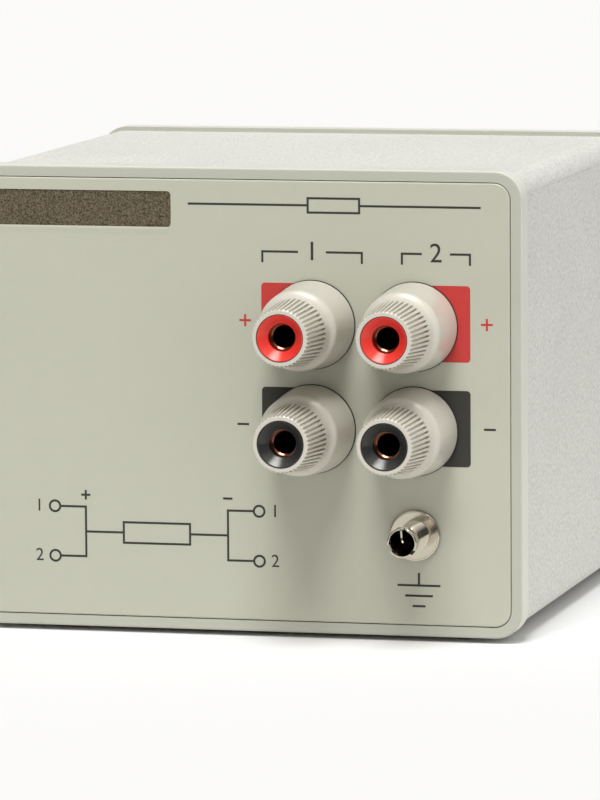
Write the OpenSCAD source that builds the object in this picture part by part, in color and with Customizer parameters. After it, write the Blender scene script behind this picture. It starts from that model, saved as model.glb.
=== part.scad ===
// Bench resistance standard: a metal case with four binding posts, a ground jack and
// a bank of wire-wound resistors inside. Millimetres, +Z up, the front looks along -Y.

/* [Case] */
// Width of the case over the bezels
case_w = 105; // [90:1:140]
// Height of the case over the bezels, without the feet
case_h = 85; // [80:1:120]
// Depth of the case from the front bezel face to the rear bezel face
case_d = 98.8; // [90:0.1:160]
// Gap between the bezels and the surface that the case stands on
ground_gap = 1; // [0.6:0.1:3]

/* [Bezels] */
// Depth of a bezel, front to back
bezel_d = 5.2; // [4.5:0.1:8]
// Width of the bezel face around the panel
bezel_ring = 2; // [1.6:0.1:4]
// Radius of the outer corners of a bezel
bezel_r = 5; // [4:0.1:7]
// How far the bezels stand proud of the covers
bezel_proud = 0.8; // [0.5:0.1:1.5]
// Width of the ledge that a panel seats on
ledge_w = 3.5; // [2.5:0.1:5]
// Thickness of that ledge
ledge_t = 2; // [1.5:0.1:3]
// Length of the spigot that goes inside the covers
spigot_l = 6; // [3:0.5:10]
// Wall of the spigot
spigot_t = 1.6; // [1.2:0.1:2.5]

/* [Panels] */
// Thickness of the front and rear panels
panel_t = 1.5; // [1:0.1:2.5]
// How far a panel stands proud of the bezel face
panel_proud = 0.15; // [0:0.05:0.3]
// Gap between a panel and the bezel around it
panel_gap = 0.15; // [0.1:0.05:0.5]
// Distance of the panel studs from the middle of the panel
panel_stud_x = 26; // [20:1:32]
// Length of the panel studs behind the panel
panel_stud_l = 6; // [5:0.5:10]
// Radius of the flanges that the panel studs are welded on by
stud_flange_r = 2.1; // [1.8:0.1:2.6]
// Thickness of those flanges
stud_flange_t = 0.6; // [0.4:0.1:1]
// Width over the flats of the nuts on the panel studs
panel_nut_flats = 5.5; // [5:0.5:6.5]
// Thickness of those nuts
panel_nut_t = 2.4; // [1.6:0.1:3]

/* [Badge plate] */
// Width of the badge plate
badge_w = 34; // [20:1:36]
// Height of the badge plate
badge_h = 6.5; // [4:0.1:8]
// Thickness of the badge plate
badge_t = 0.4; // [0.3:0.05:0.6]
// Depth of the badge plate's face below the panel face
badge_sink = 0.15; // [0:0.05:0.3]
// Radius of the badge plate's corners
badge_r = 0.8; // [0.4:0.1:1.5]
// Distance from the panel's left edge to the badge plate
badge_margin = 3.45; // [2:0.05:6]
// Distance from the top of the case to the middle of the badge plate
badge_drop = 7.7; // [7:0.1:12]

/* [Covers] */
// Thickness of the cover sheet
sheet_t = 1.2; // [0.8:0.1:1.6]
// Outer bend radius of the covers
bend_r = 3.8; // [2:0.1:4.2]
// Distance from the top of the lid down to the side seam
seam_drop = 3.8; // [3.8:0.1:6]
// Gap at the side seam
seam_gap = 0.1; // [0.05:0.05:0.4]
// Thickness of the lid's inner tongues
tongue_t = 1; // [0.8:0.1:1.5]
// Depth of the lid's inner tongues below the seam
tongue_drop = 5; // [3:0.5:9]

/* [Corner rods and screws] */
// Distance of the corner rods from the sides of the case
rod_inset = 8; // [7.5:0.1:10]
// Radius of the corner rods
rod_r = 2.5; // [2.2:0.1:3.2]
// Radius of the bezel's corner bosses
boss_r = 4.6; // [4.6:0.1:5.5]
// Length of the corner bosses, from the ledge backwards
boss_l = 5; // [3:0.5:8]
// Radius of the screws and threaded ends
screw_r = 1.5; // [1.2:0.1:1.7]
// Length of the rear screws in the rods
screw_grip = 7; // [5:0.5:10]
// Radius of the rear screw heads
head_r = 2.8; // [2.4:0.1:3.2]
// Height of the rear screw heads
head_h = 2; // [1.5:0.1:2.6]

/* [Feet] */
// Radius of a foot where it meets the case
foot_r = 6.5; // [5:0.5:9]
// Radius of a foot where it stands
foot_sole_r = 6; // [4:0.5:8]
// Distance of the feet from the sides of the case
foot_inset_x = 15; // [14:1:25]
// Distance of the feet from the bezel faces
foot_inset_y = 16; // [15:1:25]
// Radius of the foot's stem
foot_stem_r = 2; // [1.5:0.1:3]

/* [Binding posts] */
// Distance between posts, the spacing of a standard dual plug
post_pitch = 19.05; // [18.5:0.05:22]
// Distance from the panel's right edge to the right column of posts
post_margin = 17.8; // [15:0.05:20]
// Height of the lower row of posts above the floor
post_z = 38.6; // [34:0.05:42]
// How far a post stands out of the panel
post_reach = 23.7; // [21:0.1:30]
// Radius of the knob at the panel
skirt_r = 8.1; // [7.6:0.1:9]
// Gap between the knob and the panel when it is screwed in
skirt_gap = 0.3; // [0.2:0.05:0.5]
// Radius of the knob's shoulder
shoulder_r = 7.4; // [7.2:0.05:7.6]
// Distance of the shoulder from the panel
shoulder_at = 10.4; // [9.4:0.1:11.4]
// Radius of the shoulder's round
shoulder_round = 1.4; // [1:0.1:2]
// Radius of the hollow between the shoulder and the grip
shoulder_hollow = 1.8; // [1.2:0.1:2.4]
// Radius of the knob's grip at the shoulder
grip_r = 6.2; // [6:0.05:6.4]
// Radius of the knob at its tip
tip_r = 5.25; // [5.1:0.05:5.7]
// Radius of the round at the tip
tip_round = 0.45; // [0.2:0.05:0.6]
// Number of grooves round the grip
groove_count = 42; // [24:1:48]
// Width of a groove
groove_w = 0.4; // [0.2:0.02:0.44]
// Depth of a groove at its rear end
groove_d = 0.6; // [0.4:0.05:0.9]
// Depth of a groove at the knob's tip
groove_tip_d = 0.25; // [0.1:0.05:0.4]
// Distance of the grooves' rear ends from the panel
groove_from = 13.9; // [13:0.1:16]

/* [Post fittings] */
// Radius of the coloured collar
collar_r = 4.3; // [4:0.05:4.5]
// Length of the coloured collar
collar_l = 2.3; // [1.8:0.1:3]
// Radius of the hole through the collar
collar_hole_r = 2.55; // [2.3:0.05:2.8]
// Depth of the collar's countersink
collar_sink = 1.6; // [0.8:0.1:1.8]
// Width of the collar's flat rim
collar_rim = 0.25; // [0.1:0.05:0.5]
// Radius of the threaded stud
stud_r = 3.3; // [3.2:0.05:3.5]
// Radius of the socket for a plug
socket_r = 2.05; // [2.02:0.01:2.2]
// Length of the socket
socket_l = 14; // [10:0.5:15]
// Radius of the wider mouth in front of the socket
mouth_r = 2.3; // [2.25:0.05:2.7]
// Length of the wider mouth
mouth_l = 1.5; // [1:0.5:5]
// Radius of the stud's clamping seat
seat_r = 5.2; // [4.8:0.1:5.6]
// Thickness of the stud's clamping seat
seat_t = 1; // [0.8:0.1:1.2]
// Radius of the stud's shank through the panel
shank_r = 2.5; // [2:0.1:2.8]
// Length of the stud behind the panel
shank_l = 9; // [8.5:0.5:12]
// Radius of the threaded bush in the knob
bush_r = 4.3; // [4.1:0.05:4.4]
// Length of the threaded bush
bush_l = 7; // [5:0.5:9]
// Radius of the insulating bushing's flange
bushing_r = 6.2; // [5.8:0.1:6.5]
// Thickness of the insulating bushing's flange
bushing_t = 1.5; // [1:0.1:1.6]
// Radius of the insulating bushing in the panel
bushing_neck_r = 4.2; // [3.6:0.1:4.6]
// Thickness of the insulating washer behind the panel
insulator_t = 2; // [1.5:0.1:2.5]
// Thickness of the metal washers
washer_t = 0.6; // [0.5:0.1:1]
// Width over the flats of the nuts
nut_flats = 8; // [7:0.5:9]
// Thickness of the nuts
nut_t = 2.6; // [2:0.1:3]
// Thickness of the solder lugs
lug_t = 0.5; // [0.4:0.1:0.8]
// Width of the lugs' tails
lug_w = 3; // [2:0.1:4]
// Distance from a lug's screw hole to its wire
lug_l = 8.5; // [7:0.5:9]

/* [Ground jack] */
// Sideways distance of the ground jack from the right column of posts
ground_shift = 0.15; // [-6:0.05:3]
// Height of the ground jack above the floor
ground_z = 19.6; // [18:0.1:24]
// Radius of the jack's flange
flange_r = 4.65; // [4.4:0.05:6]
// Thickness of the flange at its edge
flange_t = 0.9; // [0.7:0.1:1.5]
// Depth of the flange's dish
flange_dish = 0.45; // [0.1:0.05:0.5]
// Outer radius of the jack's barrel
barrel_r = 2.6; // [2.5:0.05:2.7]
// How far the barrel stands out of the panel
barrel_reach = 11; // [8:0.1:14]
// Radius of the lip at the barrel's mouth
lip_r = 2.75; // [2.7:0.05:3.2]
// Length of that lip
lip_l = 2.2; // [1:0.1:4]
// Radius of the jack's bore
jack_bore_r = 2.1; // [2.02:0.02:2.2]
// Width of the bevel at the bore's mouth
bore_bevel = 0.3; // [0.1:0.05:0.35]
// Depth of the jack's bore
jack_bore_l = 14; // [10:0.5:16]
// Width of the slots in the jack's rim
rim_slot_w = 1.1; // [0.5:0.1:1.5]
// Depth of the slots in the jack's rim
rim_slot_l = 2; // [0.5:0.1:4]
// Length of the jack behind the panel
jack_tail_l = 8; // [7:0.5:10]

/* [Circuit board] */
// Width of the circuit board
board_w = 78; // [70:1:80]
// Depth of the circuit board
board_d = 50; // [48:1:54]
// Thickness of the circuit board
board_t = 1.6; // [1.2:0.1:2.4]
// Distance from the front bezel face to the board
board_from = 24; // [22:1:26]
// Height of the standoffs under the board
standoff_h = 8; // [6:0.5:12]
// Width over the flats of the standoffs
standoff_flats = 5; // [5:0.5:6]
// Distance of the standoffs from the edges of the board
standoff_inset = 5; // [4:0.5:7]
// Length of a board screw in its standoff
board_screw_grip = 5; // [3:0.5:5.5]
// Radius of the terminal pins
pin_r = 0.9; // [0.6:0.1:1.1]
// Height of the terminal pins above the board
pin_h = 4; // [3:0.5:6]
// Distance of the row of pins from the front edge of the board
pin_inset = 4; // [3:0.5:5]

/* [Hook-up leads] */
// Radius of the leads with their insulation
lead_r = 0.7; // [0.5:0.05:0.9]
// How far the leads of the high row bow backwards
lead_back_hi = 17; // [12:0.5:18]
// How far the leads of the low row bow backwards
lead_back_lo = 9; // [6:0.5:11]
// How far the leads of the high row bow upwards over their pins
lead_rise_hi = 30; // [20:1:34]
// How far the leads of the low row bow upwards over their pins
lead_rise_lo = 14; // [10:0.5:18]
// How far the ground lead bows backwards
lead_back_ground = 8; // [6:0.5:9]
// How far the ground lead bows upwards over its pin
lead_rise_ground = 6; // [4:0.5:8]

/* [Resistors] */
// Number of wound spools in a row
spool_count = 4; // [3:1:4]
// Distance between spools in a row
spool_pitch = 17; // [15:0.5:17]
// Distance between the rows of spools
spool_row_pitch = 19; // [16:0.5:24]
// How far the spools are set back from the middle of the board
spool_back = 3; // [1:0.5:4]
// Radius of a spool's flanges
spool_r = 6.5; // [5:0.1:7]
// Thickness of a spool's flanges
spool_flange_t = 1.4; // [1:0.1:2]
// Radius of a spool's core
spool_core_r = 3; // [2.5:0.1:4]
// Height of a spool
spool_h = 16; // [12:0.5:22]
// Radius of the winding on a spool
winding_r = 5.7; // [4.5:0.1:6]
// Number of small trim resistors
trim_count = 3; // [2:1:4]
// Radius of a trim resistor
trim_r = 1.3; // [1:0.1:1.6]
// Length of a trim resistor
trim_l = 7; // [5:0.5:8]
// Radius of a trim resistor's legs
trim_leg_r = 0.35; // [0.25:0.05:0.4]
// Length of a leg beside the body, before it turns down
trim_leg_l = 1.5; // [1:0.1:2]
// Gap between a trim resistor and the board
trim_lift = 0.3; // [0.2:0.1:1]
// Gap between neighbouring trim resistors
trim_gap = 8; // [6:0.5:9]
// Gap between the first trim resistor and the board screw beside it
trim_clear = 1; // [0.5:0.1:2]
// Distance of the trim resistors behind the pins
trim_back = 4.2; // [3.5:0.1:5]

/* [Hidden] */
$fn = 64;
// Clearance between pieces that are pushed together
fit = 0.1;
// Radial clearance of a thread or a running fit
run = 0.05;
// Radial clearance of a screw in a plain hole
hole_gap = 0.2;
// Height of the middle of the case
mid_z = ground_gap + case_h / 2;
// Distance of the covers' outer and inner faces from the outside of the bezels
cover_in = bezel_proud + sheet_t;
// Inner faces of the covers
inner_x = case_w / 2 - cover_in;
floor_z = ground_gap + cover_in;
seam_z = ground_gap + case_h - bezel_proud - seam_drop;
// Depth of the recess that a panel sits in, and the back of the ledge
recess_d = panel_t - panel_proud;
ledge_back = recess_d + ledge_t;
boss_back = ledge_back + boss_l;
// Half the width of a panel, and the middle of the badge plate
panel_half_w = case_w / 2 - bezel_ring - panel_gap;
badge_mid = [badge_margin + badge_w / 2 - panel_half_w, ground_gap + case_h - badge_drop];
// Places of the corner rods
rod_x = case_w / 2 - rod_inset;
rod_z = case_h / 2 - rod_inset;
// Places of the panel studs on the ledge's ears
ear_r = screw_r + 2.5;
ear_inset = bezel_ring + ledge_w + ear_r - 1.4;
stud_z = case_h / 2 - ear_inset;
// Clearance from the front bezel face to the back of the rear screw heads and the post tips
front_reach = panel_proud + post_reach;
rear_reach = panel_proud + head_h;
y_shift = (front_reach - rear_reach - case_d) / 2;
// Places of the feet
foot_x = case_w / 2 - foot_inset_x;
foot_top = ground_gap + bezel_proud;
// Heights along a post, from the panel face outwards
seat_at = bushing_t + seat_t;
bush_at = seat_at + skirt_gap;
collar_at = post_reach - fit - collar_l;
stud_end = collar_at - skirt_gap;
skirt_hollow_r = bushing_r + 0.5;
// The turn of the knob's shoulder, and the height where the grip begins
shoulder_turn = acos(1 - (shoulder_r - grip_r) / (shoulder_round + shoulder_hollow));
grip_at = shoulder_at + (shoulder_round + shoulder_hollow) * sin(shoulder_turn);
// The posts, in the order of their names, with the way that each lug points
right_x = panel_half_w - post_margin;
COLUMNS = [right_x - post_pitch, right_x];
ROWS = [post_z + post_pitch, post_z];
POSTS = [[COLUMNS[0], ROWS[0]], [COLUMNS[0], ROWS[1]], [COLUMNS[1], ROWS[0]], [COLUMNS[1], ROWS[1]]];
LUG_TURN = [180, 180, 0, 0];
ground_x = right_x + ground_shift;
// Depth behind the panel face of what is stacked on a post's shank
insulator_at = panel_t + insulator_t;
washer_at = insulator_at + washer_t;
lug_at = washer_at + lug_t;
nut_at = lug_at + nut_t;
// The same behind the ground jack
jack_lug_at = panel_t + washer_t + lug_t;
// The circuit board
board_z = floor_z + standoff_h;
board_top = board_z + board_t;
board_mid_y = board_from + board_d / 2;
spool_y = board_mid_y + spool_back;
// The pins, and for each post the pin and the bow of its lead
PIN_X = [-2, 6, 22, 28, 14];
pin_y = board_from + pin_inset;
LEAD_PIN = [0, 1, 3, 2];
LEAD_BACK = [lead_back_hi, lead_back_lo, lead_back_hi, lead_back_lo];
LEAD_RISE = [lead_rise_hi, lead_rise_lo, lead_rise_hi, lead_rise_lo];
GROUND_PIN = 4;
// Length of a trim resistor with its wires, before they turn down
trim_wire_l = trim_l + 2 * (trim_leg_l + trim_leg_r);
RED = [0.78, 0.13, 0.11];
DARK = [0.09, 0.09, 0.1];
PAINT = [0.8, 0.8, 0.75];
SMOOTH = [0.76, 0.76, 0.7];
KNOB = [0.8, 0.78, 0.71];
COPPER = [0.72, 0.42, 0.24];
NICKEL = [0.74, 0.71, 0.67];
STEEL = [0.62, 0.63, 0.64];

// Helpers

// Puts a shape from the case's frame, where the front bezel face is at y = 0, into place
module placed() {
    translate([0, y_shift, 0]) children();
}

// Extrudes an outline of the front view from depth y0 to depth y1
module slab(y0, y1) {
    translate([0, y1, 0]) rotate([90, 0, 0]) linear_extrude(y1 - y0) children();
}

// Rectangle with round corners, centred
module rounded(w, h, r) {
    square([w, h - 2 * r], center = true);
    square([w - 2 * r, h], center = true);
    for (x = [-1, 1], y = [-1, 1]) translate([x * (w / 2 - r), y * (h / 2 - r)]) circle(r);
}

// Outline of the case, drawn in by some distance, with its own corner radius
module case_outline(inset, r) {
    translate([0, mid_z]) rounded(case_w - 2 * inset, case_h - 2 * inset, r);
}

// Copies a shape to the four corner rods
module at_rods() {
    for (x = [-1, 1], z = [-1, 1]) translate([x * rod_x, 0, mid_z + z * rod_z]) children();
}

// Copies a shape to the four panel studs
module at_panel_studs() {
    for (x = [-1, 1], z = [-1, 1]) translate([x * panel_stud_x, 0, mid_z + z * stud_z]) children();
}

// Round bar along the depth, from y0 to y1
module bar(r, y0, y1) {
    translate([0, y1, 0]) rotate([90, 0, 0]) cylinder(r = r, h = y1 - y0);
}

// Puts a shape whose axis is Z onto a post, with Z = 0 at the panel face and +Z outwards
module on_post(i) {
    on_panel(POSTS[i][0], POSTS[i][1]) children();
}

module on_panel(x, z) {
    placed() translate([x, -panel_proud, z]) rotate([90, 0, 0]) children();
}

// Disc or ring between two heights on a post, heights being counted outwards
module ring(r, hole_r, h0, h1) {
    translate([0, 0, h0]) difference() {
        cylinder(r = r, h = h1 - h0);
        if (hole_r > 0) translate([0, 0, -1]) cylinder(r = hole_r, h = h1 - h0 + 2);
    }
}

// Hexagonal nut with a round hole, between two heights
module hex_nut(flats, hole_r, h0, h1) {
    translate([0, 0, h0]) difference() {
        cylinder(d = flats / cos(30), h = h1 - h0, $fn = 6);
        translate([0, 0, -1]) cylinder(r = hole_r, h = h1 - h0 + 2);
    }
}

// Points of an arc in the plane
function arc(c, r, from, to, steps = 6) =
    [for (i = [0:steps]) let (a = from + (to - from) * i / steps) [c[0] + r * cos(a), c[1] + r * sin(a)]];

// Bezels

// One moulding serves at the front and, turned round, at the rear
module bezel_moulding() {
    spigot_in = cover_in + fit;
    spigot_r = bend_r - sheet_t;
    recess_r = bezel_r - bezel_ring + 0.2;
    difference() {
        union() {
            slab(0, bezel_d) case_outline(0, bezel_r);
            slab(bezel_d - 0.5, bezel_d + spigot_l) case_outline(spigot_in, spigot_r);
        }
        slab(-1, recess_d) case_outline(bezel_ring, recess_r);
        difference() {
            slab(0, bezel_d + spigot_l + 1) case_outline(spigot_in + spigot_t, spigot_r);
            ledge();
            at_rods() bar(boss_r, 0, boss_back);
            at_panel_studs() bar(ear_r, 0, ledge_back);
        }
        at_rods() bar(screw_r + hole_gap, -1, boss_back + 1);
        at_panel_studs() {
            bar(screw_r + hole_gap, -1, ledge_back + 1);
            bar(stud_flange_r + hole_gap, -1, recess_d + stud_flange_t + fit);
        }
    }
}

// The ledge behind a panel
module ledge() {
    difference() {
        slab(-1, ledge_back) case_outline(bezel_ring - 0.5, bezel_r - bezel_ring);
        slab(-2, ledge_back + 1) case_outline(bezel_ring + ledge_w, 1.5);
    }
}

module front_bezel() {
    color(SMOOTH) placed() bezel_moulding();
}

module rear_bezel() {
    color(SMOOTH) placed() translate([0, case_d, 0]) mirror([0, 1, 0]) bezel_moulding();
}

// Panels

module panel_blank() {
    slab(-panel_proud, recess_d) case_outline(bezel_ring + panel_gap, bezel_r - bezel_ring);
}

module front_panel() {
    color(SMOOTH) difference() {
        placed() panel_blank();
        for (i = [0:3]) on_post(i) ring(bushing_neck_r + fit, 0, -panel_t - 1, 1);
        on_panel(ground_x, ground_z) ring(barrel_r + fit, 0, -panel_t - 1, 1);
        placed() slab(-panel_proud - 1, badge_sink + badge_t - panel_proud)
            translate(badge_mid) rounded(badge_w + fit, badge_h + fit, badge_r);
    }
}

module badge_plate() {
    color([0.46, 0.39, 0.32]) placed() slab(badge_sink - panel_proud, badge_sink + badge_t - panel_proud)
        translate(badge_mid) rounded(badge_w, badge_h, badge_r);
}

module rear_panel() {
    color(SMOOTH) placed() translate([0, case_d, 0]) mirror([0, 1, 0]) difference() {
        panel_blank();
        at_rods() bar(screw_r + hole_gap, -panel_proud - 1, panel_t + 1);
    }
}

// Threaded studs welded to the back of the front panel
module panel_studs() {
    color(STEEL) placed() at_panel_studs() {
        bar(stud_flange_r, recess_d, recess_d + stud_flange_t);
        bar(screw_r, recess_d + stud_flange_t / 2, recess_d + panel_stud_l);
    }
}

module panel_nuts() {
    color(STEEL) placed() at_panel_studs() translate([0, ledge_back, 0]) rotate([-90, 0, 0])
        hex_nut(panel_nut_flats, screw_r + run, 0, panel_nut_t);
}

// Covers

// Sheet wrapped to the outline of the case, as long as the gap between the bezels
module wrapped_sheet() {
    difference() {
        slab(bezel_d, case_d - bezel_d) case_outline(bezel_proud, bend_r);
        slab(bezel_d - 1, case_d - bezel_d + 1) case_outline(cover_in, bend_r - sheet_t);
    }
}

// Everything between the heights z0 and z1, across the case
module between(z0, z1) {
    translate([-case_w, 0, z0]) cube([2 * case_w, case_d, z1 - z0]);
}

module top_cover() {
    tongue_top = ground_gap + case_h - cover_in + 0.4;
    tongue_from = bezel_d + spigot_l + 1;
    color(PAINT) placed() {
        intersection() {
            wrapped_sheet();
            between(seam_z, 2 * case_h);
        }
        for (x = [-1, 1])
            translate([x * (inner_x - fit - tongue_t / 2) - tongue_t / 2, tongue_from, seam_z - tongue_drop])
                cube([tongue_t, case_d - 2 * tongue_from, tongue_top - seam_z + tongue_drop]);
    }
}

module bottom_cover() {
    color(PAINT) placed() difference() {
        intersection() {
            wrapped_sheet();
            between(0, seam_z - seam_gap);
        }
        at_feet() translate([0, 0, -1]) cylinder(r = foot_stem_r + fit, h = floor_z + 2);
        at_standoffs() translate([0, 0, -1]) cylinder(r = screw_r + 0.4 + fit, h = floor_z + 2);
    }
}

// Corner rods and rear screws

module corner_rods() {
    color(STEEL) placed() at_rods() difference() {
        union() {
            bar(rod_r, boss_back, case_d - boss_back);
            bar(screw_r, recess_d + 0.4, boss_back + 0.5);
        }
        bar(screw_r + run, case_d - boss_back - screw_grip - 2, case_d);
    }
}

module rear_screws() {
    head_face = case_d + panel_proud;
    slot_w = head_r * 0.22;
    color(STEEL) placed() at_rods() difference() {
        union() {
            bar(screw_r, case_d - boss_back - screw_grip, head_face + 0.5);
            translate([0, head_face, 0]) rotate([-90, 0, 0]) rotate_extrude() pan_head_profile();
        }
        for (turn = [0, 90]) translate([0, head_face + head_h, 0]) rotate([0, turn + 20, 0])
            cube([head_r * 1.1, head_h, slot_w], center = true);
    }
}

// Half section of a pan head, flat below and domed above
module pan_head_profile() {
    edge_h = head_h * 0.45;
    polygon(concat([[0, 0], [head_r, 0], [head_r, edge_h]],
        [for (a = [15:15:90]) [head_r * cos(a), edge_h + (head_h - edge_h) * sin(a)]]));
}

// Feet

module at_feet() {
    for (x = [-foot_x, foot_x], y = [foot_inset_y, case_d - foot_inset_y]) translate([x, y, 0]) children();
}

module rubber_feet() {
    barb_r = foot_stem_r + 0.6;
    barb_z = floor_z + fit;
    color([0.12, 0.12, 0.12]) placed() at_feet() {
        rotate_extrude() polygon([[0, 0], [foot_sole_r - 0.3, 0], [foot_sole_r, 0.3], [foot_r, foot_top],
            [foot_stem_r, foot_top], [foot_stem_r, barb_z], [barb_r, barb_z], [foot_stem_r, barb_z + 1.6],
            [foot_stem_r - 0.4, barb_z + 2], [0, barb_z + 2]]);
    }
}

// Binding posts

// Half section of a knob: skirt, round shoulder, tapered grip, and the hollow inside
module knob_profile() {
    polygon(concat(
        [[skirt_hollow_r, skirt_gap], [skirt_r - 0.1, skirt_gap], [skirt_r, skirt_gap + 0.1]],
        arc([shoulder_r - shoulder_round, shoulder_at], shoulder_round, 0, shoulder_turn),
        arc([grip_r + shoulder_hollow, grip_at], shoulder_hollow, 180 + shoulder_turn, 180),
        arc([tip_r - tip_round, post_reach - tip_round], tip_round, 0, 90),
        [[collar_r + run, post_reach], [collar_r + run, collar_at - fit], [stud_r + 0.3, collar_at - fit],
            [stud_r + 0.3, bush_at + bush_l], [bush_r, bush_at + bush_l], [bush_r, bush_at],
            [skirt_hollow_r, bush_at]]));
}

// One groove: a slot with a round rear end, which grows shallower towards the tip
module grip_groove() {
    taper = (grip_r - tip_r) / (post_reach - tip_round - grip_at);
    rear_r = grip_r - (groove_from - grip_at) * taper - groove_d;
    slant = atan((rear_r + groove_tip_d - tip_r) / (post_reach - groove_from));
    slot_l = post_reach - groove_from + 2;
    translate([rear_r, 0, groove_from]) rotate([0, -slant, 0]) {
        translate([0, -groove_w / 2, 0]) cube([groove_d + 1, groove_w, slot_l]);
        rotate([0, 90, 0]) cylinder(d = groove_w, h = groove_d + 1, $fn = 24);
    }
}

module knob(i) {
    color(KNOB) on_post(i) difference() {
        rotate_extrude($fn = 96) knob_profile();
        for (k = [0:groove_count - 1]) rotate(k * 360 / groove_count) grip_groove();
    }
}

// The threaded bush that is moulded into a knob
module knob_bush(i) {
    color(COPPER) on_post(i) ring(bush_r, stud_r + run, bush_at, bush_at + bush_l);
}

// The coloured collar in a knob's tip, countersunk to guide a plug
module collar(i) {
    collar_end = collar_at + collar_l;
    color(i % 2 == 0 ? RED : DARK) on_post(i) rotate_extrude($fn = 96)
        polygon([[collar_hole_r, collar_at], [collar_r, collar_at], [collar_r, collar_end - 0.1],
            [collar_r - 0.1, collar_end], [collar_r - collar_rim, collar_end],
            [collar_hole_r, collar_end - collar_sink]]);
}

// The stud: clamping seat, threaded barrel with its socket, and the shank through the panel
module post_stud(i) {
    color(COPPER) on_post(i) difference() {
        union() {
            ring(seat_r, 0, bushing_t, seat_at);
            ring(stud_r, 0, bushing_t, stud_end);
            ring(shank_r, 0, -panel_t - shank_l, seat_at);
        }
        ring(mouth_r, 0, stud_end - mouth_l, stud_end + 1);
        ring(socket_r, 0, stud_end - mouth_l - socket_l, stud_end);
    }
}

module post_bushings() {
    color(DARK) for (i = [0:3]) on_post(i) difference() {
        union() {
            ring(bushing_r, 0, 0, bushing_t);
            ring(bushing_neck_r, 0, -panel_t + fit, 0.5);
        }
        ring(shank_r + run, 0, -panel_t, bushing_t + 1);
    }
}

module post_insulators() {
    color(DARK) for (i = [0:3]) on_post(i) ring(bushing_r, shank_r + run, -insulator_at, -panel_t);
}

module post_washers() {
    color(NICKEL) for (i = [0:3]) on_post(i) ring(bushing_r - 1, shank_r + run, -washer_at, -insulator_at);
}

// Solder lug: an eye, a tail and a hole for the wire, between two heights
module solder_lug(eye_r, hole_r, h0, h1) {
    translate([0, 0, h0]) linear_extrude(h1 - h0) difference() {
        union() {
            circle(eye_r);
            translate([0, -lug_w / 2]) square([lug_l, lug_w]);
            translate([lug_l, 0]) circle(d = lug_w + 0.6);
        }
        circle(hole_r);
    }
}

module post_lugs() {
    color(NICKEL) for (i = [0:3]) on_post(i) rotate(LUG_TURN[i])
        solder_lug(bushing_r - 1.5, shank_r + run, -lug_at, -washer_at);
}

module post_nuts() {
    color(NICKEL) for (i = [0:3]) on_post(i) hex_nut(nut_flats, shank_r + run, -nut_at, -lug_at);
}

// Ground jack

// Half section of the jack: dished flange, barrel, shank behind the panel and the blind bore
module jack_profile() {
    rim_round = 0.2;
    lip_round = 0.2;
    dish_r = flange_r - rim_round - 0.1;
    dish_w = dish_r - barrel_r - 0.2;
    polygon(concat(
        [[0, -panel_t - jack_tail_l], [barrel_r, -panel_t - jack_tail_l], [barrel_r, 0],
            [flange_r - 0.15, 0], [flange_r, 0.15]],
        arc([flange_r - rim_round, flange_t - rim_round], rim_round, 0, 90),
        [for (a = [0:15:90]) [dish_r - dish_w * a / 90, flange_t - flange_dish * sin(a)]],
        [[barrel_r, flange_t - flange_dish + 0.2], [barrel_r, barrel_reach - lip_l]],
        arc([lip_r - lip_round, barrel_reach - lip_l + 2 * lip_round], lip_round, -45, 0, 2),
        arc([lip_r - lip_round, barrel_reach - lip_round], lip_round, 0, 90, 4),
        [[jack_bore_r + bore_bevel, barrel_reach], [jack_bore_r, barrel_reach - 2 * bore_bevel],
            [jack_bore_r, barrel_reach - jack_bore_l], [0, barrel_reach - jack_bore_l]]));
}

module ground_jack() {
    slot_turn = 202;
    color(NICKEL) on_panel(ground_x, ground_z) difference() {
        rotate_extrude($fn = 96) jack_profile();
        for (turn = [0, 120, 240]) rotate(slot_turn + turn)
            translate([0, -rim_slot_w / 2, barrel_reach - rim_slot_l])
                cube([lip_r + 1, rim_slot_w, rim_slot_l + 1]);
    }
}

module ground_washer() {
    color(STEEL) on_panel(ground_x, ground_z)
        ring(barrel_r + 1.6, barrel_r + run, -panel_t - washer_t, -panel_t);
}

module ground_lug() {
    color(NICKEL) on_panel(ground_x, ground_z) rotate(180)
        solder_lug(barrel_r + 1.4, barrel_r + run, -jack_lug_at, -panel_t - washer_t);
}

module ground_nut() {
    color(STEEL) on_panel(ground_x, ground_z)
        hex_nut(nut_flats + 1, barrel_r + run, -jack_lug_at - nut_t, -jack_lug_at);
}

// Circuit board

module at_standoffs() {
    half_w = board_w / 2 - standoff_inset;
    for (x = [-half_w, half_w], y = [board_from + standoff_inset, board_from + board_d - standoff_inset])
        translate([x, y, 0]) children();
}

module at_pins() {
    for (x = PIN_X) translate([x, pin_y, board_top]) children();
}

module circuit_board() {
    color([0.2, 0.36, 0.24]) placed() difference() {
        translate([-board_w / 2, board_from, board_z]) cube([board_w, board_d, board_t]);
        at_standoffs() translate([0, 0, board_z - 1]) cylinder(r = screw_r + hole_gap, h = board_t + 2);
        at_pins() translate([0, 0, -board_t - 1]) cylinder(r = pin_r + run, h = board_t + 2, $fn = 32);
        at_trims() trim_wires(fit);
    }
}

// Hexagonal standoff with a neck pressed into the bottom cover
module board_standoffs() {
    neck_z = foot_top + 0.1;
    color(STEEL) placed() at_standoffs() difference() {
        union() {
            translate([0, 0, floor_z]) cylinder(d = standoff_flats / cos(30), h = standoff_h, $fn = 6);
            translate([0, 0, neck_z]) cylinder(r = screw_r + 0.4, h = sheet_t);
        }
        translate([0, 0, board_z - board_screw_grip - 0.5])
            cylinder(r = screw_r + run, h = board_screw_grip + 1);
    }
}

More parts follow.
